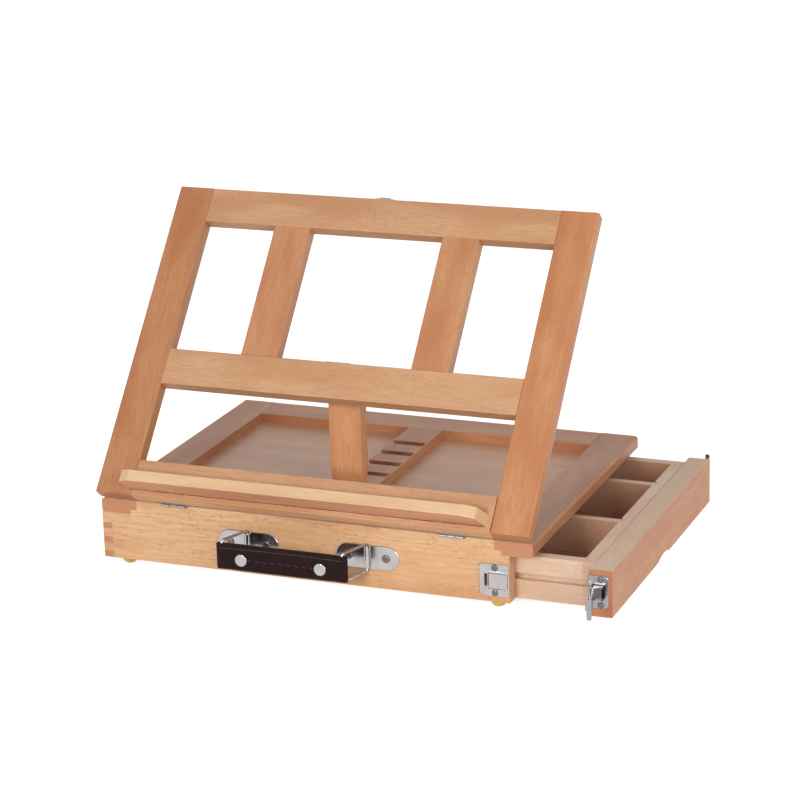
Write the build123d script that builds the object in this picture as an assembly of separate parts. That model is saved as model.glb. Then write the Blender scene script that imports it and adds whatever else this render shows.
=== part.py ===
"""Table box easel: a beech case with a hinged easel frame, a ratchet strut and a side drawer.

Working frame: X to the right from the lid's left edge, Y to the back from the front wall's face,
Z up from the lid's top. Millimetres. The exported row is moved so that its origin is the centre
of its underside. The pose is the working one: frame propped up, drawer part open, latches open.
"""
from build123d import *
from math import cos, radians, sin
import os

# Overall sizes
case_width = 400.0
case_depth = 302.0
case_height = 55.0
stock = 13.0
stile_width = 34.0
rail_width = 33.0
rear_rail_width = 36.0
edge_round = 0.8
lid_outer_round = 3.0
frame_outer_round = 2.0
frame_edge_round = 0.6

# Case
wall = 13.0
left_wall_thickness = 9.0
drawer_front_thickness = 20.3
drawer_front_gap = 0.4
finger_height = 5.8
finger_pitch = 13.3
finger_count = 3
panel_thickness = 4.0
panel_lip = 8.5
panel_rabbet = 6.0
panel_play = 0.2
foot_radius = 7.2
foot_height = 6.0
foot_inset = 21.6
foot_inset_right = 12.0
foot_flat = 0.5
runner_end_gap = 3.0

# Ratchet rack
rack_offset = 4.0
rack_width = 34.0
slot_count = 7
rack_end_land = 8.0
slot_pitch = 30.2
slot_width = 9.8
slot_depth = 3.5
slot_blind = 1.5
foot_slot_index = 4
foot_slot_clearance = 2.074

# Easel frame, measured flat on the lid before it is tilted
tilt = 49.1
mid_rail_start = 107.0
upright_offset = 80.2
tenon_length = 22.0
tenon_thickness = 5.0
tenon_shoulder = 4.0
ledge_start = 5.0
ledge_thickness = 10.5
ledge_reach = 20.0
ledge_left_overlap = 4.0
ledge_right_margin = 4.0
ledge_end_draft = (-1.5, -6.0)
ledge_corner_length = (8.5, 12.0)
ledge_corner_depth = 4.0
ledge_notch_length = 26.0
ledge_notch_reach = 2.5
ledge_notch_depth = 5.0

# Case hinges
hinge_length = 23.0
hinge_x = 128.5
hinge_radius = 2.0
hinge_barrel = 1.1
hinge_leaf = 1.0
hinge_leaf_depth = 11.0
hinge_pin_radius = 0.5
hinge_knuckles = 3
knuckle_gap = 0.8
hinge_relief = 0.4
hinge_screw_row = 6.0

# Strut
strut_offset = -5.3
strut_width = 30.4
strut_foot_width = 27.4
strut_bevel_height = 15.0
strut_tip_thickness = 6.0
strut_tip_setback = 2.5
strut_foot_gap = 0.3
strut_hinge_length = 24.0
strut_hinge_radius = 1.2
strut_hinge_pin = 0.6
strut_knuckle_gap = 0.2
strut_hinge_relief = 0.15
strut_leaf_edge = 1.0
strut_leaf = 0.7
strut_leaf_gap = 0.1

# Drawer
drawer_open = 68.8
drawer_wall = 10.0
drawer_top_gap = 3.0
drawer_bottom_rise = 0.2
drawer_front_drop = 2.4
drawer_side_gap = 0.8
drawer_end_gap = 3.0
drawer_panel = 3.0
drawer_panel_inset = 3.0
divider_thickness = 8.0
divider_drop = 1.2
divider_front = 118.0
divider_back = 82.0
divider_tongue = 3.0
runner_drop = 15.8
runner_groove = 6.0
runner_depth = 5.0
runner_play = 0.3
scoop_width = 36.0
scoop_depth = 4.0

# Draw latches
latch_rise = 19.6
latch_overlap = 0.6
latch_width = 17.5
latch_height = 29.0
latch_sheet = 1.0
latch_corner = 4.0
latch_pivot_x = 2.5
latch_pivot_y = 3.0
latch_barrel = 1.4
latch_pin = 0.95
latch_ear_span = 7.0
latch_ear_half = 2.0
latch_ear_rise = 1.8
latch_ear_play = 0.15
latch_pin_end = 1.3
latch_link_x = 3.0
latch_link_y = 2.05
claw_swing = 104.0
claw_half = 4.9
claw_knuckle = 1.2
claw_pin = 0.8
claw_pin_end = 1.4
claw_sheet = 1.0
claw_tip_gap = 0.3
claw_tail = 8.4
claw_tail_rise = 1.3
claw_web_start = 6.0
claw_web_drop = 6.0
lever_cheek = 1.2
lever_cheek_gap = 0.3
lever_cheek_drop = 0.6
lever_corner = 1.5
lever_face_start = 2.0
lever_reach = 11.0
screw_spacing = 22.5
latch_screw_x = 10.8
keeper_screw_x = 14.0

# Keepers
keeper_width = 26.5
keeper_setback = 0.4
keeper_slot_x = 6.0
keeper_slot_width = 2.8
keeper_slot_height = 11.0
keeper_pocket = 8.0
plate_corner = 3.5
plate_bevel = 0.4
hump_start = 8.4
hump_end = 25.2
hump_height = 3.2
hump_half = 7.5
hump_bevel = 1.2
catch_keeper_width = 19.0
catch_keeper_height = 11.0
catch_corner = 2.0
catch_hump_margin = 4.0
catch_hump_low = 2.5
catch_hump_bevel = 1.0
catch_drop = 1.0

# Carrying handle
bracket_spacing = 111.0
handle_offset = -3.5
bracket_z = -27.2
bracket_length = 57.0
bracket_height = 21.4
bracket_sheet = 1.2
bracket_screw = 17.0
barrel_radius = 2.5
barrel_half = 9.0
wire_radius = 1.3
wire_bore_play = 0.06
loop_axis_y = -2.6
loop_reach = 31.0
loop_half = 12.2
loop_corner = 2.6
handle_lean = 20.0
grip_height = 22.6
grip_drop = 1.2
grip_thickness = 6.4
grip_end_round = 2.5
grip_end = 5.0
grip_bore_play = 0.3
rivet_radius = 5.5
rivet_height = 1.2
rivet_stem = 1.5
rivet_inset = 24.0
rivet_drop = 2.6

# Fasteners
screw_head = 2.9
bracket_screw_head = 3.6
screw_head_height = 1.3
screw_shank = 1.3
screw_slot_width = 0.5
screw_slot_depth = 0.4
screw_length = 9.0
small_screw_length = 6.0
hole_play = 0.05

# Values worked out from the sizes above
wall_length = case_width - drawer_front_thickness - drawer_front_gap
mid_rail_end = mid_rail_start + stile_width
bottom = -case_height
rack_x = case_width / 2 + rack_offset
strut_x = case_width / 2 + strut_offset
ledge_ends = (stile_width - ledge_left_overlap, case_width - stile_width - ledge_right_margin)
drawer_top = -stock - drawer_top_gap
drawer_bottom_edge = bottom + drawer_bottom_rise
drawer_front_bottom = bottom - drawer_front_drop
divider_y = (divider_front, case_depth - divider_back)
runner_top = drawer_top - runner_drop
latch_z = bottom + latch_rise
handle_middle = case_width / 2 + handle_offset
bracket_x = (handle_middle - bracket_spacing / 2, handle_middle + bracket_spacing / 2)
frame_axis = (0, -hinge_radius, 0)
strut_axis_s = mid_rail_end + strut_leaf + strut_leaf_gap / 2
strut_axis_t = -strut_hinge_radius
nodes = {}


def box(x0, x1, y0, y1, z0, z1):
    """A box between two corners."""
    return Pos((x0 + x1) / 2, (y0 + y1) / 2, (z0 + z1) / 2) * Box(x1 - x0, y1 - y0, z1 - z0)


def rod(radius, a, b):
    """A cylinder from point a to point b."""
    axis = Vector(*b) - Vector(*a)
    return Plane(origin=a, z_dir=axis) * Cylinder(
        radius, axis.length, align=(Align.CENTER, Align.CENTER, Align.MIN)
    )


def eased(solid, axis, size):
    """The solid with its long edges along an axis broken by a small round."""
    return fillet(solid.edges().filter_by(axis), size)


def rounded_stile(solid, outer_size):
    """A left stile with its outer long edges rounded more than its inner ones."""
    edges = solid.edges().filter_by(Axis.Y).group_by(Axis.X)
    solid = fillet(edges[0], outer_size)
    return fillet(solid.edges().filter_by(Axis.Y).group_by(Axis.X)[-1], edge_round)


def tilted(shape):
    """A piece of the easel frame turned from lying on the lid to its working angle."""
    return Pos(*frame_axis) * Rot(tilt, 0, 0) * Pos(0, hinge_radius, 0) * shape


def strut_hinge_point():
    """The strut hinge's axis with the frame at its working angle."""
    return tilted(Pos(0, strut_axis_s, strut_axis_t) * Sphere(strut_hinge_pin)).center()


def dropped(shape):
    """A piece of the stowed strut turned down to stand on the rack, before the frame's tilt."""
    axis = Pos(0, strut_axis_s, strut_axis_t)
    return axis * Rot(-(90 + tilt), 0, 0) * axis.inverse() * shape


def add(name, shape):
    """Stores one node, as a solid or a group of separate solids."""
    parts = shape if isinstance(shape, (list, tuple)) else [shape]
    solids = [solid for part in parts for solid in part.solids()]
    nodes[name] = solids[0] if len(solids) == 1 else Compound(children=solids)


def screw(length=screw_length, head=screw_head):
    """A domed screw whose head sits on Z=0 and whose shank points down."""
    dome = Cylinder(head, screw_head_height, align=(Align.CENTER, Align.CENTER, Align.MIN))
    dome = fillet(dome.edges().filter_by(GeomType.CIRCLE).group_by(Axis.Z)[-1], screw_head_height * 0.8)
    shank = Cylinder(screw_shank, length, align=(Align.CENTER, Align.CENTER, Align.MAX))
    slot = Box(head, screw_slot_width, 2 * screw_slot_depth)
    cross = slot + Rot(0, 0, 90) * slot
    return dome + shank - Pos(0, 0, screw_head_height) * cross


def screw_hole(length=screw_length):
    """The space that a screw's shank needs."""
    return Cylinder(screw_shank + hole_play, 2 * length + 1)


def at_face(x, y, z, normal):
    """A place on a face, with its Z along the face's outward normal."""
    return Plane(origin=(x, y, z), z_dir=normal).location


FRONT = (0, -1, 0)
BACK = (0, 1, 0)


def turned_to_back(shape):
    """The same piece on the back face, turned half way round about X."""
    middle = Pos(0, case_depth / 2, latch_z)
    return middle * Rot(180, 0, 0) * middle.inverse() * shape


# Case joinery


def fingers(y0, y1):
    """The left wall's fingers, as they pass through an end of the front or back wall."""
    low = [bottom + index * finger_pitch for index in range(finger_count)]
    return [box(0, left_wall_thickness, y0, y1, z, z + finger_height) for z in low]


def make_case():
    left = rounded_stile(box(0, stile_width, 0, case_depth, -stock, 0), lid_outer_round)
    left -= box(stile_width - panel_rabbet, stile_width, -1, case_depth - wall, -stock - 1, -panel_lip)
    right = mirror(left, Plane.YZ.offset(case_width / 2))
    add("lid_left_stile", left)
    add("lid_right_stile", right)

    rail_front = case_depth - rear_rail_width
    rail = box(stile_width, case_width - stile_width, rail_front, case_depth, -stock, 0)
    rail = eased(rail, Axis.X, edge_round)
    rail -= box(0, case_width, rail_front - 1, rail_front + panel_rabbet, -stock - 1, -panel_lip)
    add("lid_rear_rail", rail)

    front = box(0, wall_length, 0, wall, bottom, 0)
    groove_back = wall + 1
    front -= box(stile_width - panel_rabbet, case_width, wall - panel_rabbet, groove_back,
                 -panel_lip - panel_thickness, -panel_lip)
    lip_left = stile_width - panel_rabbet
    lip_right = case_width - lip_left
    front -= box(0, stile_width, -1, wall + 1, -panel_lip, 1)
    front -= box(0, lip_left, -1, wall + 1, -stock, 1)
    front -= box(case_width - stile_width, case_width, -1, wall + 1, -panel_lip, 1)
    front -= box(lip_right, case_width, -1, wall + 1, -stock, 1)
    front -= fingers(-1, wall + 1)
    back = box(0, wall_length, case_depth - wall, case_depth, bottom, -stock)
    back -= fingers(case_depth - wall - 1, case_depth + 1)
    left_wall = box(0, left_wall_thickness, wall, case_depth - wall, bottom, -stock)
    left_wall += fingers(0, case_depth)

    rack = box(rack_x - rack_width / 2, rack_x + rack_width / 2, wall, rail_front, -stock, 0)
    for side in (-1, 1):
        edge = rack_x + side * (rack_width / 2 - panel_rabbet / 2)
        rack -= Pos(edge, case_depth / 2, -stock) * Box(panel_rabbet, case_depth, 2 * (stock - panel_lip))
    foot_rear = strut_hinge_point().Y + strut_tip_setback + strut_tip_thickness - strut_axis_t
    for index in range(slot_count):
        rear = foot_rear + foot_slot_clearance + (foot_slot_index - index) * slot_pitch
        if rear - slot_width > wall and rear < rail_front - rack_end_land:
            rack -= box(0, rack_x + rack_width / 2 - slot_blind, rear - slot_width, rear, -slot_depth, 1)
    add("ratchet_rack", rack)

    panel_y0 = wall - panel_rabbet + panel_play
    panel_y1 = rail_front + panel_rabbet - panel_play
    inner_left = stile_width - panel_rabbet + panel_play
    inner_right = case_width - inner_left
    rack_left = rack_x - rack_width / 2 + panel_rabbet - panel_play
    rack_right = rack_x + rack_width / 2 - panel_rabbet + panel_play
    panel_z = (-panel_lip - panel_thickness, -panel_lip)
    add("lid_left_panel", box(inner_left, rack_left, panel_y0, panel_y1, *panel_z))
    add("lid_right_panel", box(rack_right, inner_right, panel_y0, panel_y1, *panel_z))

    runner_z1 = runner_top - runner_play
    runner_z0 = runner_top - runner_groove + runner_play
    reach = drawer_side_gap + runner_depth - runner_play
    runner_x = (left_wall_thickness, wall_length - runner_end_gap)
    add("drawer_runners", [
        box(*runner_x, wall, wall + reach, runner_z0, runner_z1),
        box(*runner_x, case_depth - wall - reach, case_depth - wall, runner_z0, runner_z1),
    ])

    foot_y = (wall / 2, case_depth - wall / 2)
    foot_x = (foot_inset, wall_length - foot_inset_right)
    dome_radius = (foot_radius**2 + foot_height**2) / (2 * foot_height)
    dome = Pos(0, 0, dome_radius - foot_height) * Sphere(dome_radius)
    dome &= Pos(0, 0, -foot_height) * Cylinder(foot_radius + 1, foot_height, align=(
        Align.CENTER, Align.CENTER, Align.MIN))
    dome -= Pos(0, 0, -foot_height) * Cylinder(foot_radius, 2 * foot_flat)
    add("feet", [Pos(x, y, bottom) * dome for x in foot_x for y in foot_y])
    return front, back, left_wall, rail


def make_case_hinges(front):
    """Two butt hinges at the front edge: leaves let into the wall's top and the frame's back."""
    case_leaves, frame_leaves, pins, case_screws, frame_screws = [], [], [], [], []
    relief = []
    step = hinge_length / hinge_knuckles
    for side in (-1, 1):
        middle = case_width / 2 + side * hinge_x
        x0 = middle - hinge_length / 2
        low = box(x0, x0 + hinge_length, -hinge_radius, hinge_leaf_depth, -hinge_leaf, 0)
        high = box(x0, x0 + hinge_length, -hinge_radius, hinge_leaf_depth, 0, hinge_leaf)
        for index in range(hinge_knuckles):
            a = x0 + index * step
            knuckle = rod(hinge_barrel, (a + knuckle_gap / 2, -hinge_radius, 0),
                          (a + step - knuckle_gap / 2, -hinge_radius, 0))
            clear = rod(hinge_barrel + hinge_relief / 2, (a - knuckle_gap / 2, -hinge_radius, 0),
                        (a + step + knuckle_gap / 2, -hinge_radius, 0))
            if index % 2 == 0:
                high -= clear
                low += knuckle
            else:
                low -= clear
                high += knuckle
        bore = rod(hinge_pin_radius + hole_play, (x0 - 1, -hinge_radius, 0),
                   (x0 + hinge_length + 1, -hinge_radius, 0))
        low -= bore
        high -= bore
        pins.append(rod(hinge_pin_radius, (x0, -hinge_radius, 0), (x0 + hinge_length, -hinge_radius, 0)))
        for dx in (-hinge_length / 3, 0, hinge_length / 3):
            place = (middle + dx, hinge_screw_row)
            hole = Pos(*place, 0) * Cylinder(screw_shank + hole_play, 2 * small_screw_length)
            low -= hole
            high -= hole
            front -= hole
            relief.append(hole)
            flush = Cylinder(screw_shank, small_screw_length, align=(Align.CENTER, Align.CENTER, Align.MAX))
            case_screws.append(Pos(*place, 0) * flush)
            frame_screws.append(Pos(*place, 0) * Rot(180, 0, 0) * flush)
        case_leaves.append(low)
        frame_leaves.append(high)
        span = (x0 - knuckle_gap, x0 + hinge_length + knuckle_gap)
        trough = rod(hinge_barrel + hinge_relief, (span[0], -hinge_radius, 0), (span[1], -hinge_radius, 0))
        front -= box(*span, -1, hinge_leaf_depth, -hinge_leaf, 1)
        front -= trough
        relief.append(box(*span, -1, hinge_leaf_depth, -1, hinge_leaf))
        relief.append(trough)
    add("case_hinge_leaves", case_leaves)
    add("case_hinge_pins", pins)
    add("case_hinge_screws", case_screws)
    add("frame_hinge_leaves", [tilted(leaf) for leaf in frame_leaves])
    add("frame_hinge_screws", [tilted(item) for item in frame_screws])
    return front, relief


def tenon(x0, x1, s0, s1):
    """A tenon in the middle of the frame's thickness."""
    middle = stock / 2
    return box(x0, x1, s0, s1, middle - tenon_thickness / 2, middle + tenon_thickness / 2)


def make_frame(relief):
    """Stiles, rails and uprights lying flat on the lid, then tilted together."""
    inner = (stile_width, case_width - stile_width)
    rails = {
        "frame_bottom_rail": (0, rail_width),
        "frame_mid_rail": (mid_rail_start, mid_rail_end),
        "frame_top_rail": (case_depth - rail_width, case_depth),
    }
    left = rounded_stile(box(0, inner[0], 0, case_depth, 0, stock), frame_outer_round)
    right = mirror(left, Plane.YZ.offset(case_width / 2))
    for name, (s0, s1) in rails.items():
        body = eased(box(*inner, s0, s1, 0, stock), Axis.X, frame_edge_round)
        side_tenons = [
            tenon(inner[0] - tenon_length, inner[0], s0 + tenon_shoulder, s1 - tenon_shoulder),
            tenon(inner[1], inner[1] + tenon_length, s0 + tenon_shoulder, s1 - tenon_shoulder),
        ]
        left -= side_tenons
        right -= side_tenons
        rails[name] = body + side_tenons
    uprights = {}
    for name, side in (("frame_left_upright", -1), ("frame_right_upright", 1)):
        middle = case_width / 2 + side * upright_offset
        x0, x1 = middle - stile_width / 2, middle + stile_width / 2
        top_start = case_depth - rail_width
        body = eased(box(x0, x1, mid_rail_end, top_start, 0, stock), Axis.Y, frame_edge_round)
        ends = [
            tenon(x0 + tenon_shoulder, x1 - tenon_shoulder, mid_rail_end - rail_width / 2, mid_rail_end),
            tenon(x0 + tenon_shoulder, x1 - tenon_shoulder, top_start, top_start + rail_width / 2),
        ]
        rails["frame_mid_rail"] -= ends[0]
        rails["frame_top_rail"] -= ends[1]
        uprights[name] = body + ends
    outer = stock + ledge_reach
    left_end, right_end = ledge_ends
    left_corner, right_corner = left_end + ledge_end_draft[0], right_end + ledge_end_draft[1]
    outline = Plane.XZ * Polygon(
        (left_end, stock), (right_end, stock), (right_corner, outer - ledge_corner_depth),
        (right_corner - ledge_corner_length[1], outer), (left_corner + ledge_corner_length[0], outer),
        (left_corner, outer - ledge_corner_depth), align=None)
    ledge = Pos(0, ledge_start + ledge_thickness, 0) * extrude(outline, ledge_thickness)
    ledge = fillet(ledge.edges().group_by(Axis.Z)[-1].filter_by(Axis.X), edge_round)
    notch_x = case_width / 2 - hinge_x
    ledge -= box(notch_x - ledge_notch_length / 2, notch_x + ledge_notch_length / 2, ledge_start - 1,
                 ledge_start + ledge_notch_depth, stock - 1, stock + ledge_notch_reach)
    rails["frame_bottom_rail"] -= relief
    add("frame_left_stile", tilted(left))
    add("frame_right_stile", tilted(right))
    add("canvas_ledge", tilted(ledge))
    for name, body in uprights.items():
        add(name, tilted(body))
    return rails


def make_strut(rails):
    """The prop leg, built stowed in the frame's middle opening, then turned down to the rack."""
    start = strut_axis_s + strut_leaf_gap / 2 + strut_leaf
    reach = strut_hinge_point().Z + slot_depth - strut_foot_gap
    end = strut_axis_s + reach
    bevel = end - strut_bevel_height
    half, foot_half = strut_width / 2, strut_foot_width / 2
    side = Plane.YZ * Polygon(
        (start, 0), (bevel, 0), (end, strut_tip_setback), (end, strut_tip_setback + strut_tip_thickness),
        (bevel, stock), (start, stock), align=None)
    face = Plane.XY * Polygon(
        (strut_x - half, start), (strut_x + half, start), (strut_x + half, bevel),
        (strut_x + foot_half, end), (strut_x - foot_half, end), (strut_x - half, bevel), align=None)
    strut = (Pos(strut_x - half, 0, 0) * extrude(side, strut_width)) & extrude(face, stock)
    x0 = strut_x - strut_hinge_length / 2
    x1 = x0 + strut_hinge_length
    step = strut_hinge_length / hinge_knuckles
    leaf_start = start - strut_leaf
    frame_leaf = box(x0, x1, mid_rail_end, mid_rail_end + strut_leaf, strut_axis_t, stock - strut_leaf_edge)
    strut_leaf_solid = box(x0, x1, leaf_start, start, strut_axis_t, stock - strut_leaf_edge)

    def along_hinge(radius, a, b):
        return rod(radius, (a, strut_axis_s, strut_axis_t), (b, strut_axis_s, strut_axis_t))

    gap = strut_knuckle_gap / 2
    for index in range(hinge_knuckles):
        a = x0 + index * step
        knuckle = along_hinge(strut_hinge_radius, a + gap, a + step - gap)
        clear = along_hinge(strut_hinge_radius + strut_hinge_relief, a - gap, a + step + gap)
        if index % 2:
            frame_leaf -= clear
            strut_leaf_solid += knuckle
        else:
            strut_leaf_solid -= clear
            frame_leaf += knuckle
    bore = along_hinge(strut_hinge_pin + hole_play, x0 - 1, x1 + 1)
    frame_leaf -= bore
    strut_leaf_solid -= bore
    pin = along_hinge(strut_hinge_pin, x0, x1)
    strut_screws, rail_screws = [], []
    for dx in (-step, step):
        place = (strut_x + dx, stock / 2)
        for leaf_face, direction in ((leaf_start, 1), (mid_rail_end + strut_leaf, -1)):
            shank = rod(screw_shank, (place[0], leaf_face, place[1]),
                        (place[0], leaf_face + direction * small_screw_length, place[1]))
            hole = rod(screw_shank + hole_play, (place[0], leaf_face - direction, place[1]),
                       (place[0], leaf_face + direction * small_screw_length, place[1]))
            if direction == 1:
                strut_leaf_solid -= hole
                strut -= hole
                strut_screws.append(shank)
            else:
                frame_leaf -= hole
                rails["frame_mid_rail"] -= hole
                rail_screws.append(shank)
    add("strut", tilted(dropped(strut)))
    add("strut_hinge_strut_leaf", tilted(dropped(strut_leaf_solid)))
    add("strut_hinge_strut_screws", [tilted(dropped(item)) for item in strut_screws])
    add("strut_hinge_frame_leaf", tilted(frame_leaf))
    add("strut_hinge_pin", tilted(pin))
    add("strut_hinge_frame_screws", [tilted(item) for item in rail_screws])
    for name, body in rails.items():
        add(name, tilted(body))


# Latches are drawn for the front face: X away from the keeper, Y=0 on the face, Z=0 at mid height


def upright_rod(radius, x, y, half):
    """A cylinder along Z that reaches the same way up and down from Z=0."""
    return rod(radius, (x, y, -half), (x, y, half))


def latch_screw_places():
    return [(latch_screw_x, 0, side * screw_spacing / 2) for side in (-1, 1)]


def latch_plate():
    sheet = box(0, latch_width, -latch_sheet, 0, -latch_height / 2, latch_height / 2)
    outer = sheet.edges().filter_by(Axis.Y).group_by(Axis.X)[-1]
    sheet = fillet(outer, latch_corner)
    sheet = chamfer(sheet.edges().group_by(Axis.Y)[0], plate_bevel)
    for side in (-1, 1):
        z0, z1 = sorted((side * latch_ear_span, side * (latch_ear_span + latch_sheet)))
        sheet += box(latch_pivot_x - latch_ear_half, latch_pivot_x + latch_ear_half,
                     -latch_pivot_y - latch_ear_rise, 0, z0, z1)
    sheet -= upright_rod(latch_pin + hole_play, latch_pivot_x, -latch_pivot_y, latch_height)
    for place in latch_screw_places():
        sheet -= at_face(*place, FRONT) * screw_hole()
    return sheet


def link_point():
    """The claw's pivot on the lever, with the lever shut."""
    return latch_pivot_x + latch_link_x, -latch_pivot_y - latch_link_y


def latch_lever():
    """The lever lying shut over the plate: two cheeks joined by a face beyond the claw's link."""
    px, py = latch_pivot_x, -latch_pivot_y
    bx, by = link_point()
    half = claw_half + lever_cheek_gap
    lever = upright_rod(latch_barrel, px, py, latch_ear_span - latch_ear_play)
    lever += upright_rod(latch_pin, px, py, latch_ear_span + latch_pin_end)
    face_y = by - claw_knuckle - lever_cheek_drop
    for side in (-1, 1):
        z0, z1 = sorted((side * half, side * (half + lever_cheek)))
        lever += box(px - lever_cheek, px + lever_reach, face_y, py + lever_cheek_drop, z0, z1)
    face = box(bx + lever_face_start, px + lever_reach, face_y - latch_sheet, face_y,
               -half - lever_cheek, half + lever_cheek)
    lever += fillet(face.edges().filter_by(Axis.Y).group_by(Axis.X)[-1], lever_corner)
    lever -= upright_rod(claw_pin + hole_play, bx, by, latch_height)
    return lever


def latch_claw():
    """The claw hooked: it runs from the link to a tooth in the keeper's slot, with a finger tail."""
    bx, by = link_point()
    tooth_x = keeper_slot_x - keeper_width - keeper_setback - drawer_front_gap + latch_overlap
    tooth_x0, tooth_x1 = tooth_x - claw_sheet / 2, tooth_x + claw_sheet / 2
    outer_y = by - claw_sheet / 2
    claw = upright_rod(claw_knuckle, bx, by, claw_half)
    claw += upright_rod(claw_pin, bx, by, claw_half + claw_pin_end)
    claw += box(tooth_x0, bx, outer_y, outer_y + claw_sheet, -claw_half, claw_half)
    claw += box(tooth_x0, tooth_x1, outer_y, -claw_tip_gap, -claw_half, claw_half)
    tail = box(tooth_x0, tooth_x1, outer_y, -claw_tail_rise, -claw_half - claw_tail, 0)
    claw += fillet(tail.edges().filter_by(Axis.X).group_by(Axis.Z)[0], claw_tail_rise)
    web = Plane.XZ * Polygon(
        (bx - claw_web_start, -claw_half), (tooth_x0, -claw_half), (tooth_x0, -claw_half - claw_web_drop),
        (tooth_x1, -claw_half - claw_web_drop), align=None)
    claw += Pos(0, outer_y + claw_sheet, 0) * extrude(web, claw_sheet)
    return claw


def freed_claw(shape):
    """The claw let go of its keeper and turned out about its link."""
    link = Pos(*link_point(), 0)
    return link * Rot(0, 0, claw_swing) * link.inverse() * shape


def keeper_slot(depth):
    """The upright slot that the claw's tooth enters, cut from in front of the plate to a depth."""
    return box(keeper_slot_x - keeper_slot_width / 2, keeper_slot_x + keeper_slot_width / 2,
               -2 * hump_height, depth, -keeper_slot_height / 2, keeper_slot_height / 2)


def keeper():
    """A keeper plate with the slot for the claw and a raised hump beside it."""
    sheet = box(0, keeper_width, -latch_sheet, 0, -latch_height / 2, latch_height / 2)
    sheet = fillet(sheet.edges().filter_by(Axis.Y).group_by(Axis.X)[0], plate_corner)
    sheet = chamfer(sheet.edges().group_by(Axis.Y)[0], plate_bevel)
    hump = box(hump_start, hump_end, -hump_height, 0, -hump_half, hump_half)
    sheet += chamfer(hump.edges().group_by(Axis.Y)[0], hump_bevel)
    return sheet - keeper_slot(1)


def make_latches():
    """The drawer's two latches with their keepers on the case. Returns the holes that they need."""
    inner_face = wall_length + drawer_front_gap + drawer_open
    place = Pos(inner_face - latch_overlap, 0, latch_z)
    keeper_place = Pos(wall_length - keeper_setback - keeper_width, 0, latch_z)
    keeper_plate = keeper()
    keeper_screws, latch_screws, wall_holes, drawer_holes = [], [], [], []
    for side in (-1, 1):
        z = side * screw_spacing / 2
        spot = at_face(keeper_screw_x, 0, z, FRONT)
        keeper_plate -= spot * screw_hole()
        wall_holes.append(keeper_place * spot * screw_hole())
        keeper_screws.append(keeper_place * at_face(keeper_screw_x, -latch_sheet, z, FRONT) * screw())
    for x, y, z in latch_screw_places():
        drawer_holes.append(place * at_face(x, y, z, FRONT) * screw_hole())
        latch_screws.append(place * at_face(x, -latch_sheet, z, FRONT) * screw())
    wall_holes.append(keeper_place * keeper_slot(keeper_pocket))
    add("keeper_front", keeper_place * keeper_plate)
    add("keeper_back", turned_to_back(keeper_place * keeper_plate))
    add("latch_plate_front", place * latch_plate())
    add("latch_plate_back", turned_to_back(place * latch_plate()))
    add("latch_lever_front", place * latch_lever())
    add("latch_lever_back", turned_to_back(place * latch_lever()))
    add("latch_claw_front", place * freed_claw(latch_claw()))
    add("latch_claw_back", turned_to_back(place * freed_claw(latch_claw())))
    add("latch_screws", latch_screws + [turned_to_back(item) for item in latch_screws])
    return wall_holes, drawer_holes, keeper_screws + [turned_to_back(item) for item in keeper_screws]


def make_rear_catch():
    """The same latch upright on the back wall, for the keeper on the frame's top edge."""
    corner = (case_width / 2, case_depth, -stock - catch_drop)
    place = Plane(origin=corner, x_dir=(0, 0, -1), z_dir=(-1, 0, 0)).location
    holes, screws = [], []
    for x, y, z in latch_screw_places():
        holes.append(place * at_face(x, y, z, FRONT) * screw_hole())
        screws.append(place * at_face(x, -latch_sheet, z, FRONT) * screw())
    add("rear_catch_plate", place * latch_plate())
    add("rear_catch_lever", place * latch_lever())
    add("rear_catch_claw", place * freed_claw(latch_claw()))
    half = catch_keeper_width / 2
    edge = box(-half, half, 0, latch_sheet, -catch_keeper_height / 2, catch_keeper_height / 2)
    hump = box(-half + catch_hump_margin, half - catch_hump_margin, 0, hump_height,
               -catch_hump_low, catch_keeper_height / 2 - latch_sheet)
    hump = chamfer(hump.edges().group_by(Axis.Y)[-1], catch_hump_bevel)
    edge = fillet(edge.edges().filter_by(Axis.Y), catch_corner) + hump
    add("catch_keeper", tilted(Pos(case_width / 2, case_depth, stock / 2) * edge))
    return holes, screws


# Carrying handle


def bracket():
    """A round-ended plate with a rolled barrel up its middle."""
    sheet = extrude(Plane.XZ * SlotOverall(bracket_length, bracket_height), bracket_sheet)
    sheet = chamfer(sheet.edges().group_by(Axis.Y)[0], plate_bevel)
    sheet += rod(barrel_radius, (0, loop_axis_y, -barrel_half), (0, loop_axis_y, barrel_half))
    sheet += box(-barrel_radius, barrel_radius, loop_axis_y, -0.2, -barrel_half, barrel_half)
    sheet -= rod(wire_radius + wire_bore_play, (0, loop_axis_y, -30), (0, loop_axis_y, 30))
    sheet -= [at_face(side * bracket_screw, 0, 0, FRONT) * screw_hole() for side in (-1, 1)]
    return sheet


def wire_loop():
    """A closed wire rectangle from the bracket's barrel out to the grip, pointing to the front."""
    outline = RectangleRounded(loop_reach, 2 * loop_half, loop_corner).wire()
    path = Plane.YZ * Pos(loop_axis_y - loop_reach / 2, 0) * outline
    start = path @ 0
    section = Plane(origin=start, z_dir=path % 0) * Circle(wire_radius)
    return sweep(section, path)


def leaned(shape):
    """A loop swung to the handle's resting lean, still at X=0."""
    pivot = Pos(0, loop_axis_y, 0)
    return pivot * Rot(0, 0, -handle_lean) * pivot.inverse() * shape


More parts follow.
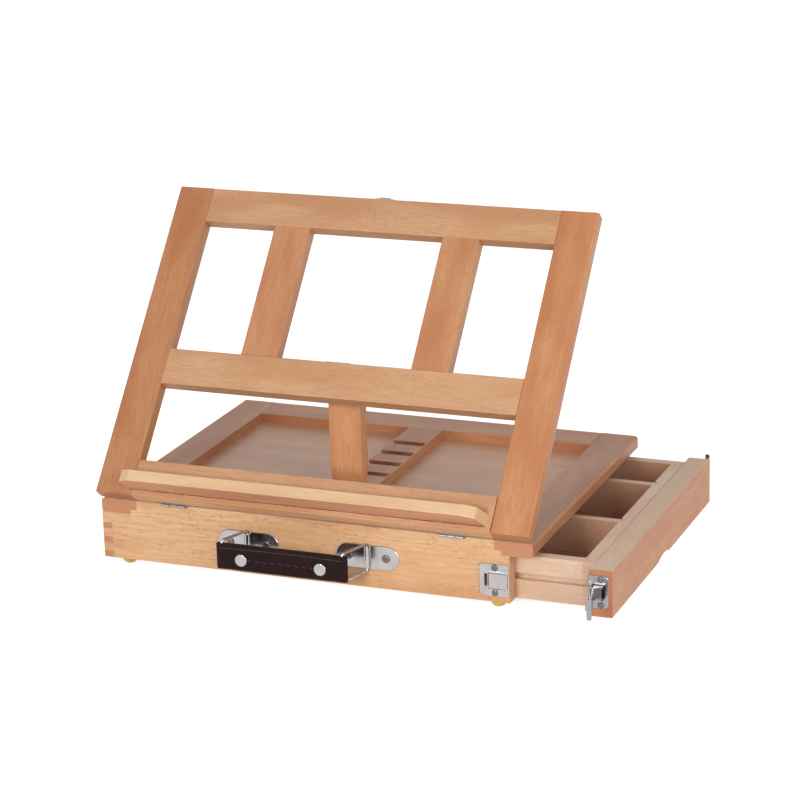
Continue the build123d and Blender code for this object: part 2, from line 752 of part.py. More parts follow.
def make_handle():
    shift = loop_reach * sin(radians(handle_lean))
    grip_y = loop_axis_y - loop_reach * cos(radians(handle_lean))
    screws, holes = [], []
    for name, x in zip(("left", "right"), bracket_x):
        place = Pos(x, 0, bracket_z)
        add(f"handle_bracket_{name}", place * bracket())
        add(f"handle_loop_{name}", place * leaned(wire_loop()))
        for side in (-1, 1):
            spot = at_face(side * bracket_screw, -bracket_sheet, 0, FRONT)
            screws.append(place * spot * screw(head=bracket_screw_head))
            holes.append(place * at_face(side * bracket_screw, 0, 0, FRONT) * screw_hole())
    x0 = bracket_x[0] - shift - grip_end
    x1 = bracket_x[1] - shift + grip_end
    grip = box(x0, x1, grip_y - grip_thickness / 2, grip_y + grip_thickness / 2,
               -grip_drop - grip_height / 2, -grip_drop + grip_height / 2)
    grip = fillet(grip.edges().filter_by(Axis.Z), grip_end_round)
    for x in bracket_x:
        grip -= rod(wire_radius + grip_bore_play, (x - shift, grip_y, -20), (x - shift, grip_y, 20))
    rivets = []
    for x in (x0 + rivet_inset, x1 - rivet_inset):
        face_front, face_back = grip_y - grip_thickness / 2, grip_y + grip_thickness / 2
        stem = rod(rivet_stem, (x, face_front, -rivet_drop), (x, face_back, -rivet_drop))
        grip -= rod(rivet_stem + hole_play, (x, face_front - 1, -rivet_drop),
                    (x, face_back + 1, -rivet_drop))
        for face, normal in ((face_front, FRONT), (face_back, BACK)):
            cap = Cylinder(rivet_radius, rivet_height, align=(Align.CENTER, Align.CENTER, Align.MIN))
            cap = fillet(cap.edges().filter_by(GeomType.CIRCLE).group_by(Axis.Z)[-1], rivet_height * 0.7)
            stem += at_face(x, face, -rivet_drop, normal) * cap
        rivets.append(stem)
    add("handle_grip", Pos(0, 0, bracket_z) * grip)
    add("handle_rivets", [Pos(0, 0, bracket_z) * item for item in rivets])
    add("handle_bracket_screws", screws)
    return holes


# Drawer


def make_drawer(latch_holes):
    """The drawer as it stands part open, hung by grooves in its long sides."""
    inner_face = wall_length + drawer_front_gap + drawer_open
    left_end = left_wall_thickness + drawer_end_gap + drawer_open
    side_y = wall + drawer_side_gap
    height = (drawer_bottom_edge, drawer_top)
    front_side = box(left_end, inner_face - drawer_wall, side_y, side_y + drawer_wall, *height)
    groove = box(left_end - 1, inner_face, side_y - 1, side_y + runner_depth,
                 runner_top - runner_groove, runner_top)
    back_groove = mirror(groove, Plane.XZ.offset(-case_depth / 2))
    panel_z0 = drawer_bottom_edge + drawer_panel_inset
    panel_z1 = panel_z0 + drawer_panel
    panel = box(left_end + drawer_wall / 2, inner_face - drawer_wall / 2,
                side_y + drawer_wall / 2, case_depth - side_y - drawer_wall / 2, panel_z0, panel_z1)
    front_side = front_side - groove - panel
    back_side = mirror(front_side, Plane.XZ.offset(-case_depth / 2))
    inside = (side_y + drawer_wall, case_depth - side_y - drawer_wall)
    left = box(left_end, left_end + drawer_wall, *inside, *height) - panel
    right = box(inner_face - drawer_wall, inner_face, side_y, case_depth - side_y, *height)
    right = right - panel - groove - back_groove
    for name, y in zip(("drawer_divider_front", "drawer_divider_back"), divider_y):
        footprint = (left_end + drawer_wall - divider_tongue, inner_face - drawer_wall + divider_tongue,
                     y, y + divider_thickness)
        divider = box(*footprint, panel_z1, drawer_top - divider_drop)
        slot = box(*footprint, panel_z1, drawer_top + 1)
        left -= slot
        right -= slot
        add(name, divider)
    face = box(inner_face, inner_face + drawer_front_thickness, 0, case_depth,
               drawer_front_bottom, drawer_top)
    face = eased(face, Axis.Y, edge_round)
    scoop = (scoop_width**2 / 4 + scoop_depth**2) / (2 * scoop_depth)
    scoop_z = drawer_front_bottom - scoop + scoop_depth
    face -= rod(scoop, (0, case_depth / 2, scoop_z), (2 * case_width, case_depth / 2, scoop_z))
    face -= latch_holes
    face -= [turned_to_back(item) for item in latch_holes]
    add("drawer_front", face)
    add("drawer_front_side", front_side)
    add("drawer_back_side", back_side)
    add("drawer_left_end", left)
    add("drawer_right_end", right)
    add("drawer_bottom", panel)


def build():
    front, back, left_wall, rail = make_case()
    front, relief = make_case_hinges(front)
    rails = make_frame(relief)
    make_strut(rails)
    wall_holes, drawer_holes, keeper_screws = make_latches()
    catch_holes, catch_screws = make_rear_catch()
    handle_holes = make_handle()
    make_drawer(drawer_holes)
    front -= wall_holes
    front -= handle_holes
    back -= [turned_to_back(item) for item in wall_holes]
    back -= catch_holes
    add("front_wall", front)
    add("back_wall", back)
    add("left_wall", left_wall)
    add("plate_screws", keeper_screws + catch_screws)


def main():
    build()
    boxes = [shape.bounding_box() for shape in nodes.values()]
    low = [min(getattr(b.min, axis) for b in boxes) for axis in "XYZ"]
    high = [max(getattr(b.max, axis) for b in boxes) for axis in "XYZ"]
    origin = ((low[0] + high[0]) / 2, (low[1] + high[1]) / 2, low[2])
    os.makedirs("parts", exist_ok=True)
    for name, shape in nodes.items():
        export_step(Pos(*(-value for value in origin)) * shape, f"parts/{name}.step")
    print(len(nodes), "nodes; origin at", [round(value, 4) for value in origin])
    return origin


row_origin = main()
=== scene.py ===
"""Table box easel: wood, metal and leather finishes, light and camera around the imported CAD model."""

import random
from math import cos, pi, radians, sin

import bmesh
import bpy
from mathutils import Matrix, Vector


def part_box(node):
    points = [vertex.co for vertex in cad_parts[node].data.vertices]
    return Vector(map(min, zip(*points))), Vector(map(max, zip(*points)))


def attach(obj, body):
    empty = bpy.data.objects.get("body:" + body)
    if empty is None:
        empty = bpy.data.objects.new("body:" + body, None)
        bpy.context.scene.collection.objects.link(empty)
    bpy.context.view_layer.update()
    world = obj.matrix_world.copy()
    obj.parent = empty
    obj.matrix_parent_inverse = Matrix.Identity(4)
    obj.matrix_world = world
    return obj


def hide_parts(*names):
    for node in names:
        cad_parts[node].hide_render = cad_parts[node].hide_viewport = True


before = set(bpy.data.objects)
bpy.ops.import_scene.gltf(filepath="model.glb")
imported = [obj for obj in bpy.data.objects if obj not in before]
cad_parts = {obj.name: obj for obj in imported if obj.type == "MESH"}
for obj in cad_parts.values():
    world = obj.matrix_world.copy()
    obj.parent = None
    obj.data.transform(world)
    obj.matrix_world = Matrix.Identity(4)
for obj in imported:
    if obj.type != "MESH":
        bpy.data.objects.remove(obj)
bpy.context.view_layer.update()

MM = 0.001
TILT = radians(49.1)

# The CAD's drawing frame: X from the lid's left edge, Y from the front wall's face, Z from the lid's top
lid_low, lid_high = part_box("lid_left_stile")
ORIGIN = Vector((lid_low.x, lid_low.y, lid_high.z))


def at(x, y, z):
    """A point given in millimetres of the drawing frame, in the scene's metres."""
    return ORIGIN + Vector((x, y, z)) * MM


def srgb(r, g, b):
    """A display colour, 0 to 255, as the linear colour that a shader takes."""
    def linear(value):
        value /= 255
        return value / 12.92 if value <= 0.04045 else ((value + 0.055) / 1.055) ** 2.4
    return linear(r), linear(g), linear(b), 1.0


# Shader helpers


class Nodes:
    """Short calls for building one material's node tree."""

    def __init__(self, name):
        self.material = bpy.data.materials.new(name)
        self.material.use_nodes = True
        self.tree = self.material.node_tree
        self.shader = self.tree.nodes["Principled BSDF"]

    def add(self, kind, **settings):
        node = self.tree.nodes.new(kind)
        for key, value in settings.items():
            setattr(node, key, value)
        return node

    def link(self, a, b):
        self.tree.links.new(a, b)

    def put(self, socket, value):
        """Sets an input to a number or colour, or links an output to it."""
        if isinstance(value, bpy.types.NodeSocket):
            self.link(value, socket)
        else:
            socket.default_value = value

    def math(self, operation, a, b=0.0):
        node = self.add("ShaderNodeMath", operation=operation)
        self.put(node.inputs[0], a)
        self.put(node.inputs[1], b)
        return node.outputs[0]

    def vector(self, operation, a, b=(0, 0, 0)):
        node = self.add("ShaderNodeVectorMath", operation=operation)
        self.put(node.inputs[0], a)
        self.put(node.inputs[1], b)
        return node.outputs["Value"] if operation in ("DOT_PRODUCT", "LENGTH") else node.outputs[0]

    def mapped(self, source, location=(0, 0, 0), rotation=(0, 0, 0), scale=(1, 1, 1)):
        node = self.add("ShaderNodeMapping")
        self.link(source, node.inputs["Vector"])
        node.inputs["Location"].default_value = location
        node.inputs["Rotation"].default_value = rotation
        node.inputs["Scale"].default_value = scale
        return node.outputs[0]

    def noise(self, where, detail, roughness=0.5):
        node = self.add("ShaderNodeTexNoise")
        self.link(where, node.inputs["Vector"])
        node.inputs["Scale"].default_value = 1.0
        node.inputs["Detail"].default_value = detail
        node.inputs["Roughness"].default_value = roughness
        return node.outputs[0]

    def spread(self, value, low, high, out_low=0.0, out_high=1.0):
        """Remaps a value's range and clamps it."""
        node = self.add("ShaderNodeMapRange", interpolation_type="SMOOTHSTEP")
        self.link(value, node.inputs["Value"])
        node.inputs["From Min"].default_value = low
        node.inputs["From Max"].default_value = high
        node.inputs["To Min"].default_value = out_low
        node.inputs["To Max"].default_value = out_high
        return node.outputs[0]

    def mix(self, amount, a, b):
        node = self.add("ShaderNodeMix", data_type="RGBA")
        self.put(node.inputs[0], amount)
        self.put(node.inputs[6], a)
        self.put(node.inputs[7], b)
        return node.outputs[2]

    def bump(self, height, strength, distance):
        node = self.add("ShaderNodeBump")
        self.link(height, node.inputs["Height"])
        node.inputs["Strength"].default_value = strength
        node.inputs["Distance"].default_value = distance
        self.link(node.outputs[0], self.shader.inputs["Normal"])

    def millimetres(self):
        """The object's own coordinates in millimetres."""
        return self.mapped(self.add("ShaderNodeTexCoord").outputs["Object"], scale=(1000, 1000, 1000))


# Each tone: base colour, darker grain colour, fleck colour
TONES = {
    "orange": (srgb(200, 148, 102), srgb(184, 118, 76), srgb(142, 84, 52)),
    "deep": (srgb(187, 132, 88), srgb(172, 108, 68), srgb(134, 80, 48)),
    "warm": (srgb(198, 144, 100), srgb(182, 120, 80), srgb(140, 84, 54)),
    "strut": (srgb(222, 163, 117), srgb(202, 139, 92), srgb(150, 92, 54)),
    # Painted light: a lighter copy of the strut's tone, for the strut's faces that look along +X
    "strut_side_painted_light": (srgb(236, 174, 125), srgb(216, 150, 100), srgb(160, 100, 60)),
    "rail": (srgb(205, 159, 119), srgb(188, 137, 97), srgb(146, 92, 60)),
    "pale": (srgb(219, 178, 134), srgb(201, 151, 106), srgb(164, 102, 62)),
    "cream": (srgb(225, 190, 150), srgb(212, 171, 128), srgb(180, 130, 88)),
    "plain": (srgb(226, 197, 170), srgb(210, 175, 147), srgb(160, 114, 88)),
    # Painted shade: a darker tone for the faces inside the drawer
    "drawer_inside_shade": (srgb(218, 173, 143), srgb(202, 153, 123), srgb(150, 104, 78)),
    "end_board": (srgb(197, 137, 90), srgb(181, 117, 78), srgb(148, 92, 62)),
    "tongue": (srgb(200, 144, 104), srgb(186, 128, 90), srgb(160, 104, 72)),
    "lid": (srgb(190, 135, 96), srgb(176, 114, 76), srgb(134, 82, 54)),
    # Painted shade: a darker copy of the lid's tone, for the lid's right stile
    "lid_shaded": (srgb(179, 128, 92), srgb(165, 107, 73), srgb(126, 77, 52)),
    "ply": (srgb(193, 147, 112), srgb(181, 133, 101), srgb(144, 98, 70)),
    # Painted shade: a darker tone for the drawer's floor
    "drawer_floor_shade": (srgb(190, 140, 112), srgb(174, 120, 94), srgb(136, 88, 66)),
    # Painted shade: a darker tone for the canvas ledge's underside
    "ledge_underside_shade": (srgb(210, 152, 116), srgb(192, 132, 98), srgb(150, 96, 68)),
}
GRAIN_AXIS = {"x": (1, 0, 0), "y": (0, 1, 0), "z": (0, 0, 1)}
GRAIN_TURN = {"x": (0, 0, 0), "y": (0, 0, -pi / 2), "z": (0, pi / 2, 0)}
TILTED_TURN = {"x": (-TILT, 0, 0), "y": (-TILT, 0, -pi / 2)}

# Growth lines in millimetres: their pitch on the long faces and on end grain, and how far they wander
RING_PITCH = 4.6
END_RING_PITCH = 2.7
RING_WANDER = 34.0

# Levels between which a fleck appears, and between which a face counts as looking a given way
FLECK_LEVELS = (0.62, 0.72)
FACING_LEVELS = (0.6, 0.85)


def wood(name, tone, grain, seed, tilted=False, flecks=0.5, figure=0.5, gloss=0.12, specular=0.4,
         other=None, dense=0.0):
    """Beech: wavy growth lines, fine streaks, short dark flecks and darker end grain, varnished.

    other is a direction and the tone of the faces that look that way; most uses paint light or shade by
    which way a face looks. dense brings more flecks.
    """
    n = Nodes(name)
    draw = random.Random(seed)
    turn = TILTED_TURN[grain] if tilted else GRAIN_TURN[grain]
    along = (0, cos(TILT), sin(TILT)) if tilted and grain == "y" else GRAIN_AXIS[grain]
    normal = n.add("ShaderNodeTexCoord").outputs["Normal"]
    base, dark, fleck = TONES[tone]
    if other:
        direction, other_tone = other
        # Tone by facing: mostly painted light and shade on the faces that look one way
        turned = n.spread(n.vector("DOT_PRODUCT", normal, direction), *FACING_LEVELS)
        base, dark, fleck = [n.mix(turned, a, b) for a, b in zip(TONES[tone], TONES[other_tone])]
    offset = [draw.uniform(-500, 500) for _ in range(3)]
    place = n.mapped(n.millimetres(), rotation=turn)
    # From here on X runs along the grain
    shifted = n.mapped(place, location=offset)
    slow = n.noise(n.mapped(shifted, scale=(0.008, 0.035, 0.035)), detail=2.0)
    wander = n.noise(n.mapped(shifted, scale=(0.012, 0.05, 0.05)), detail=4.0)
    pith = (0, draw.uniform(-60, 60), draw.choice((-1, 1)) * draw.uniform(60, 120))
    radial = n.vector("LENGTH", n.mapped(place, location=pith, scale=(0, 1, 1)))
    radial = n.math("ADD", radial, n.math("MULTIPLY", wander, RING_WANDER))
    rings = n.math("SINE", n.math("MULTIPLY", radial, 2 * pi / RING_PITCH))
    ring_line = n.spread(rings, 0.0, 1.0)
    streak = n.noise(n.mapped(shifted, scale=(0.035, 0.8, 0.8)), detail=4.0, roughness=0.65)
    stroke = n.noise(n.mapped(shifted, scale=(0.10, 1.0, 1.0)), detail=2.0, roughness=0.6)
    fine = n.noise(n.mapped(shifted, scale=(0.12, 3.0, 3.0)), detail=2.0, roughness=0.7)
    specks = n.noise(n.mapped(shifted, scale=(0.30, 1.6, 1.6)), detail=1.0)
    spots = n.spread(specks, *[level - dense for level in FLECK_LEVELS])
    patches = n.spread(n.noise(n.mapped(shifted, scale=(0.016, 0.03, 0.03)), detail=1.0), 0.34, 0.56)
    ring_spots = n.math("MULTIPLY", spots, n.spread(rings, -0.4, 0.6, 0.35, 1.0))
    colour = n.mix(n.spread(slow, 0.38, 0.66), base, dark)
    colour = n.mix(n.math("MULTIPLY", ring_line, figure * 0.55), colour, dark)
    colour = n.mix(n.math("MULTIPLY", n.spread(streak, 0.46, 0.70), 0.5), colour, dark)
    colour = n.mix(n.math("MULTIPLY", n.spread(stroke, 0.50, 0.66), 0.45), colour, dark)
    colour = n.mix(n.math("MULTIPLY", n.spread(fine, 0.48, 0.72), 0.30), colour, fleck)
    colour = n.mix(n.math("MULTIPLY", n.math("MULTIPLY", ring_spots, patches), flecks), colour, fleck)
    facing = n.math("ABSOLUTE", n.vector("DOT_PRODUCT", normal, along))
    end = n.spread(facing, *FACING_LEVELS)
    end_rings = n.spread(n.math("SINE", n.math("MULTIPLY", radial, 2 * pi / END_RING_PITCH)), -0.7, 0.7)
    shade = n.mix(n.math("MULTIPLY", end_rings, 0.45), dark, fleck)
    colour = n.mix(n.math("MULTIPLY", end, 0.65), colour, shade)
    n.link(colour, n.shader.inputs["Base Color"])
    rough = n.spread(streak, 0.3, 0.7, 0.46 - gloss * 0.2, 0.58 - gloss * 0.2)
    n.link(rough, n.shader.inputs["Roughness"])
    n.shader.inputs["Specular IOR Level"].default_value = specular
    n.shader.inputs["Coat Weight"].default_value = gloss
    n.shader.inputs["Coat Roughness"].default_value = 0.30
    n.bump(n.math("ADD", fine, n.math("MULTIPLY", spots, 0.5)), 0.12, 0.0002)
    return n.material


def nickel(name, tone=(176, 173, 174), roughness=0.14):
    """Nickel plate and darker metal finishes, one of them painted shade on the hinge pins, with a
    slightly uneven polish.
    """
    n = Nodes(name)
    place = n.millimetres()
    cloud = n.noise(n.mapped(place, scale=(0.08, 0.08, 0.08)), detail=2.0)
    light = srgb(*tone)
    dull = srgb(*[value * 0.95 for value in tone])
    n.link(n.mix(n.spread(cloud, 0.35, 0.65), light, dull), n.shader.inputs["Base Color"])
    n.shader.inputs["Metallic"].default_value = 1.0
    n.link(n.spread(cloud, 0.3, 0.7, roughness, roughness + 0.08), n.shader.inputs["Roughness"])
    n.bump(n.noise(n.mapped(place, scale=(0.12, 0.12, 0.12)), detail=0.0), 0.05, 0.0004)
    return n.material


def leather(name):
    """Smooth dark leather with a fine pebbled grain."""
    n = Nodes(name)
    place = n.millimetres()
    cells = n.add("ShaderNodeTexVoronoi", feature="DISTANCE_TO_EDGE")
    n.link(n.mapped(place, scale=(1.6, 1.6, 1.6)), cells.inputs["Vector"])
    cells.inputs["Scale"].default_value = 1.0
    mottle = n.noise(n.mapped(place, scale=(0.12, 0.12, 0.12)), detail=4.0)
    n.link(n.mix(n.spread(mottle, 0.35, 0.65), srgb(27, 10, 12), srgb(36, 15, 17)),
           n.shader.inputs["Base Color"])
    n.link(n.spread(mottle, 0.3, 0.7, 0.34, 0.46), n.shader.inputs["Roughness"])
    n.shader.inputs["Specular IOR Level"].default_value = 0.10
    n.bump(n.spread(cells.outputs[0], 0.0, 0.25), 0.18, 0.0001)
    return n.material


def highlight_and_seam_line(name, tone):
    """A painted highlight line on the leather, and the frame's dark seam lines with a painted shadow
    line, with slow changes of tone along them.
    """
    n = Nodes(name)
    mottle = n.noise(n.mapped(n.millimetres(), scale=(0.35, 0.35, 0.35)), detail=3.0)
    dull = srgb(*[value * 0.7 for value in tone])
    n.link(n.mix(n.spread(mottle, 0.35, 0.65), srgb(*tone), dull), n.shader.inputs["Base Color"])
    n.shader.inputs["Roughness"].default_value = 0.45
    n.shader.inputs["Specular IOR Level"].default_value = 0.3
    n.bump(mottle, 0.1, 0.0001)
    return n.material


def thread(name):
    """Waxed sewing thread, its twist as fine slanted bands."""
    n = Nodes(name)
    place = n.millimetres()
    twist = n.add("ShaderNodeTexWave", bands_direction="DIAGONAL")
    n.link(place, twist.inputs["Vector"])
    twist.inputs["Scale"].default_value = 0.9
    strands = n.mix(twist.outputs["Fac"], srgb(74, 46, 48), srgb(54, 30, 32))
    n.link(strands, n.shader.inputs["Base Color"])
    n.shader.inputs["Roughness"].default_value = 0.5
    n.shader.inputs["Specular IOR Level"].default_value = 0.3
    n.bump(twist.outputs["Fac"], 0.3, 0.0001)
    return n.material


def foot_rubber(name):
    """Glossy yellow rubber in two close shades."""
    n = Nodes(name)
    place = n.millimetres()
    mottle = n.noise(n.mapped(place, scale=(0.3, 0.3, 0.3)), detail=2.0)
    n.link(n.mix(n.spread(mottle, 0.3, 0.7), srgb(206, 176, 22), srgb(176, 148, 18)),
           n.shader.inputs["Base Color"])
    n.shader.inputs["Roughness"].default_value = 0.22
    n.shader.inputs["Subsurface Weight"].default_value = 0.15
    n.shader.inputs["Subsurface Radius"].default_value = (0.002, 0.002, 0.0005)
    n.bump(mottle, 0.05, 0.0002)
    return n.material


# Finishes for the CAD pieces: tone, grain direction, on the tilted frame or not, and what differs

FIRST_SEED = 100
DOWN_SLOPE = (0, -cos(TILT), -sin(TILT))
WOODS = {
    "front_wall": ("pale", "x", False, dict(flecks=0.65, figure=0.8, dense=0.06)),
    "back_wall": ("pale", "x", False, dict(flecks=0.8, figure=0.7)),
    "left_wall": ("tongue", "y", False, dict(flecks=0.7)),
    "drawer_runners": ("warm", "x", False, {}),
    "lid_left_stile": ("lid", "y", False, dict(gloss=0.2, other=((0, -1, 0), "tongue"))),
    # The right stile's darker tone is painted shade
    "lid_right_stile": ("lid_shaded", "y", False, dict(gloss=0.2, other=((0, -1, 0), "tongue"))),
    "lid_rear_rail": ("lid", "x", False, dict(gloss=0.2)),
    "ratchet_rack": ("lid", "y", False, dict(gloss=0.2)),
    "lid_left_panel": ("ply", "x", False, dict(gloss=0.35, specular=0.5, figure=0.3, flecks=0.2)),
    "lid_right_panel": ("ply", "x", False, dict(gloss=0.35, specular=0.5, figure=0.3, flecks=0.2)),
    "frame_left_stile": ("deep", "y", True, {}),
    "frame_right_stile": ("orange", "y", True, {}),
    "frame_left_upright": ("warm", "y", True, {}),
    "frame_right_upright": ("warm", "y", True, {}),
    "frame_top_rail": ("rail", "x", True, dict(flecks=0.8)),
    "frame_mid_rail": ("rail", "x", True, {}),
    # Painted light: the bottom rail's faces that look down its slope, which lie in shade, take the
    # lighter pale tone
    "frame_bottom_rail": ("rail", "x", True, dict(other=(DOWN_SLOPE, "pale"))),
    # Painted shade: the ledge's faces that look down its slope take a darker tone
    "canvas_ledge": ("cream", "x", True, dict(figure=0.3, flecks=0.3, other=(DOWN_SLOPE, "ledge_underside_shade"))),
    # The strut's faces that look along +X are painted lighter
    "strut": ("strut", "z", False, dict(figure=0.3, other=((1, 0, 0), "strut_side_painted_light"))),
    # Painted light: the top faces of the drawer front and the dividers take the lighter plain tone
    "drawer_front": ("end_board", "y", False, dict(flecks=0.7, other=((0, 0, 1), "plain"))),
    # Painted shade inside the drawer: the inner faces of its sides and ends, the dividers' faces and its
    # floor take darker tones
    "drawer_front_side": ("plain", "x", False, dict(figure=0.4, other=((0, 1, 0), "drawer_inside_shade"))),
    "drawer_back_side": ("plain", "x", False, dict(figure=0.4, other=((0, -1, 0), "drawer_inside_shade"))),
    "drawer_left_end": ("plain", "y", False, dict(other=((1, 0, 0), "drawer_inside_shade"))),
    "drawer_right_end": ("plain", "y", False, dict(other=((-1, 0, 0), "drawer_inside_shade"))),
    "drawer_divider_front": ("drawer_inside_shade", "x", False, dict(other=((0, 0, 1), "plain"))),
    "drawer_divider_back": ("drawer_inside_shade", "x", False, dict(other=((0, 0, 1), "plain"))),
    "drawer_bottom": ("drawer_floor_shade", "y", False, {}),
}


def paint(obj, material):
    obj.data.materials.clear()
    obj.data.materials.append(material)


def finish_cad_nodes():
    bright = nickel("nickel")
    worn = nickel("nickel_worn", (158, 156, 157), 0.26)
    screw = nickel("screw_head", (114, 109, 109), 0.20)
    mirror = nickel("nickel_latch", (152, 149, 151), 0.2)
    # Painted shade: the hinge pins are made dark so the gaps between the knuckles read as shade
    steel = nickel("steel", (78, 72, 70), 0.35)
    for index, (name, (tone, grain, tilted, extra)) in enumerate(WOODS.items()):
        paint(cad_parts[name], wood(name, tone, grain, FIRST_SEED + index, tilted, **extra))
    paint(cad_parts["feet"], foot_rubber("foot_rubber"))
    for name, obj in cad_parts.items():
        if name in WOODS or name in ("handle_grip", "feet"):
            continue
        # The hinge pins take the dark painted-shade finish
        if name.endswith("hinge_pins"):
            paint(obj, steel)
        elif name.endswith("screws"):
            paint(obj, screw)
        elif "hinge" in name:
            paint(obj, worn)
        elif name.startswith(("latch", "rear_catch")):
            paint(obj, mirror)
        else:
            paint(obj, bright)


# The leather grip, in place of its plain CAD solid

GRIP_LOW, GRIP_HIGH = [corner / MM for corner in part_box("handle_grip")]
GRIP_HALF = (GRIP_HIGH.y - GRIP_LOW.y) / 2
GRIP_MIDDLE = (GRIP_HIGH.y + GRIP_LOW.y) / 2
GRIP_HALF_LENGTH = (GRIP_HIGH.x - GRIP_LOW.x) / 2
GRIP_STATIONS = (0.0, 0.1, 0.35, 0.8, 1.5, 2.3, GRIP_HALF, 4.2, 5.5, 7.0, 9.0, 11.0, 13.0, 16.0,
                 19.0, 24.0, 32.0, 42.0)
PINCH_PLACE = 12.0
PINCH_REACH = 7.0
PINCH_DEPTH = 0.5
CREASE_DROP = 1.8
CREASE_END_DROP = 1.2
CREASE_LOOP_RISE = 1.0
CREASE_LOOP_REACH = 7.0
RIM_STEPS = 60
RIM_START = 4.0
RIM_SUNK = 0.12
RIM_DROP = 0.75
RIM_HALF_DEPTH = 0.3
RIM_HALF_HEIGHT = 0.24
RIM_SIDES = 8
RIVET_INSET = 24.0
STITCH_PITCH = 7.2
STITCH_LENGTH = 4.8
STITCH_HEIGHT = GRIP_LOW.z + 10.1
STITCH_MARGIN = 7.0
STITCH_SLANT = radians(5)
THREAD_HALF_DEPTH = 0.55
THREAD_HALF_HEIGHT = 0.45


def new_piece(name, bm, material, body):
    """A mesh given in millimetres, made into a smooth piece that rides on a body."""
    bmesh.ops.recalc_face_normals(bm, faces=bm.faces)
    bmesh.ops.scale(bm, vec=(MM, MM, MM), verts=bm.verts)
    mesh = bpy.data.meshes.new(name)
    bm.to_mesh(mesh)
    bm.free()
    mesh.polygons.foreach_set("use_smooth", [True] * len(mesh.polygons))
    mesh.materials.append(material)
    piece = bpy.data.objects.new(name, mesh)
    bpy.context.collection.objects.link(piece)
    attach(piece, body)
    return piece


def bridge(bm, rings):
    """Skins a row of closed outlines and caps both ends."""
    size = len(rings[0])
    for here, there in zip(rings, rings[1:]):
        for k in range(size):
            following = (k + 1) % size
            bm.faces.new((here[k], here[following], there[following], there[k]))
    bm.faces.new(rings[0])
    bm.faces.new(rings[-1])


def grip_half(end):
    """Half the grip's thickness at a distance from its end: round at the loop, pinched behind it."""
    if end < GRIP_HALF:
        return (GRIP_HALF ** 2 - (GRIP_HALF - end) ** 2) ** 0.5
    pinch = max(0.0, 1 - abs(end - PINCH_PLACE) / PINCH_REACH)
    return GRIP_HALF - PINCH_DEPTH * pinch * pinch * (3 - 2 * pinch)


def grip_crease(end):
    """Depth of the pressed line below the top edge: shallow in the middle, deeper by the loops."""
    along = 1 - end / GRIP_HALF_LENGTH
    rise = max(0.0, 1 - end / CREASE_LOOP_REACH)
    return CREASE_DROP + CREASE_END_DROP * along * along - CREASE_LOOP_RISE * rise * rise


def grip_section(end):
    """The outline across the grip, from the top round the front and back: offsets in Y, heights in Z."""
    half = grip_half(end)
    edge = min(0.9, half * 0.4)
    depth = 0.45 * half / GRIP_HALF
    crease = grip_crease(end)
    top, bottom = GRIP_HIGH.z, GRIP_LOW.z
    face = [(half - edge, top), (half - edge * 0.3, top - edge * 0.3), (half, top - edge)]
    face += [(half - depth * 0.1, top - crease + 0.55), (half - depth, top - crease)]
    face += [(half - depth * 0.1, top - crease - 0.7), (half, top - crease - 1.6)]
    face += [(half, bottom + (top - bottom) * share) for share in (0.7, 0.5, 0.3, 0.12)]
    face += [(half, bottom + edge), (half - edge * 0.3, bottom + edge * 0.3), (half - edge, bottom)]
    back = [(-y, z) for y, z in reversed(face)]
    return [(-y, z) for y, z in face + back]


def make_grip():
    """Leather folded round the wire loops, with a pressed line along its top edge."""
    stations = [(GRIP_LOW.x + end, end) for end in GRIP_STATIONS]
    stations.append((GRIP_LOW.x + GRIP_HALF_LENGTH, GRIP_HALF_LENGTH))
    stations += [(GRIP_HIGH.x - end, end) for end in reversed(GRIP_STATIONS)]
    bm = bmesh.new()
    rings = []
    for x, end in stations:
        outline = grip_section(max(end, 0.01))
        rings.append([bm.verts.new((x, GRIP_MIDDLE + y, z)) for y, z in outline])
    bridge(bm, rings)
    grip = new_piece("grip_leather", bm, leather("leather"), "handle_grip")
    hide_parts("handle_grip")


def make_edge_lines():
    """Painted highlight: a lighter line on the leather beside its pressed line, on both faces."""
    bm = bmesh.new()
    middle_step = RIM_STEPS // 2
    turns = [turn * 2 * pi / RIM_SIDES for turn in range(RIM_SIDES)]
    corners = [(RIM_HALF_DEPTH * cos(turn), RIM_HALF_HEIGHT * sin(turn)) for turn in turns]
    for side in (-1, 1):
        rings = []
        for step in range(RIM_STEPS + 1):
            share = 1 - abs(step - middle_step) / middle_step
            end = RIM_START + (GRIP_HALF_LENGTH - RIM_START) * share
            x = GRIP_LOW.x + end if step < middle_step else GRIP_HIGH.x - end
            y = GRIP_MIDDLE + side * (grip_half(end) - RIM_SUNK)
            z = GRIP_HIGH.z - grip_crease(end) - RIM_DROP
            rings.append([bm.verts.new((x, y + dy, z + dz)) for dy, dz in corners])
        bridge(bm, rings)
    new_piece("grip_edge_lines", bm, highlight_and_seam_line("leather_painted_highlight", (98, 72, 74)), "handle_grip")


